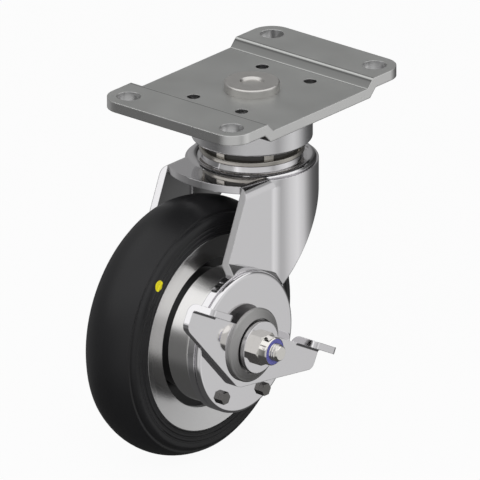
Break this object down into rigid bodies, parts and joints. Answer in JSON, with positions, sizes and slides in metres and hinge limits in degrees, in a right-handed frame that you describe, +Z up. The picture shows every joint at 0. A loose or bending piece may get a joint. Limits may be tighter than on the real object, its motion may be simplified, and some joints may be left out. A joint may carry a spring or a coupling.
{
  "type": "swivel castor",
  "caption": "Swivel castor with a bolted top plate, pressed steel fork, rubber-tyred metal wheel and a rocking foot brake on the axle.",
  "frame": {"origin": "king pin axis at the top face of the raised plate ends, which is the surface the castor is bolted against", "axes": "+Z up along the king pin, +X the direction of travel with the wheel trailing towards -X, -Y the side of the brake and axle nut"},
  "size_m": [0.2057, 0.1179, 0.2051],
  "materials": {
    "zinc_plate": "satin zinc",
    "bright_steel": "bright zinc, mirror-like",
    "turned_steel": "turned",
    "bearing_steel": "ground and polished",
    "plain_steel": "plain",
    "drum_iron": "machined",
    "rim_metal": "satin, machined",
    "tyre_rubber": "smooth black rubber",
    "seal_rubber": "matte",
    "bush_bronze": "machined",
    "blue_nylon": "satin",
    "friction_lining": "matte"
  },
  "bodies": {
    "mount": {"top_plate": "zinc_plate", "king_pin": "bright_steel", "bearing_housing": "bright_steel", "upper_race": "bearing_steel", "thrust_washer": "plain_steel", "king_pin_nut": "plain_steel"},
    "fork": {"fork": "bright_steel", "lower_race": "bearing_steel", "swivel_balls": "bearing_steel", "dust_seal": "seal_rubber", "thrust_balls": "bearing_steel", "pin_bush": "bush_bronze", "axle_bolt": "turned_steel", "bolt_washer": "turned_steel", "axle_sleeve": "plain_steel", "axle_spacers": "plain_steel", "bearing_inner_rings": "bearing_steel", "nut_washer": "turned_steel", "lock_nut": "turned_steel", "nylon_insert": "blue_nylon", "drum_shield": "bright_steel", "brake_cover": "bright_steel", "cover_rivets": "turned_steel", "shoe_pins": "plain_steel", "return_spring": "plain_steel"},
    "wheel": {"tyre": "tyre_rubber", "wheel_rim": "rim_metal", "brake_drum": "drum_iron", "drum_rivets": "plain_steel", "bearing_outer_rings": "bearing_steel", "bearing_balls": "bearing_steel"},
    "lever": {"brake_lever": "bright_steel", "cam_sleeve": "plain_steel", "hub_ring": "turned_steel"},
    "front_shoe": {"shoe_front": "plain_steel", "lining_front": "friction_lining"},
    "rear_shoe": {"shoe_rear": "plain_steel", "lining_rear": "friction_lining"}
  },
  "joints": [
    {"name": "swivel", "type": "hinge", "parent": "mount", "child": "fork", "pos_m": [0, 0, -0.044], "axis": [0, 0, 1], "continuous": true},
    {"name": "wheel_spin", "type": "hinge", "parent": "fork", "child": "wheel", "pos_m": [-0.0557, 0, -0.1301], "axis": [0, 1, 0], "continuous": true},
    {"name": "brake_rock", "type": "hinge", "parent": "fork", "child": "lever", "pos_m": [-0.0557, -0.044, -0.1301], "axis": [0, -1, 0], "range_deg": [0, 42]},
    {"name": "front_shoe_swing", "type": "hinge", "parent": "fork", "child": "front_shoe", "pos_m": [-0.0617, -0.021, -0.1527], "axis": [0, -1, 0], "range_deg": [0, 2]},
    {"name": "rear_shoe_swing", "type": "hinge", "parent": "fork", "child": "rear_shoe", "pos_m": [-0.0497, -0.021, -0.1527], "axis": [0, 1, 0], "range_deg": [0, 2]}
  ],
  "couplings": [
    {"joint": "front_shoe_swing", "follows": "brake_rock", "ratio": 0.0357},
    {"joint": "rear_shoe_swing", "follows": "brake_rock", "ratio": 0.0357}
  ]
}
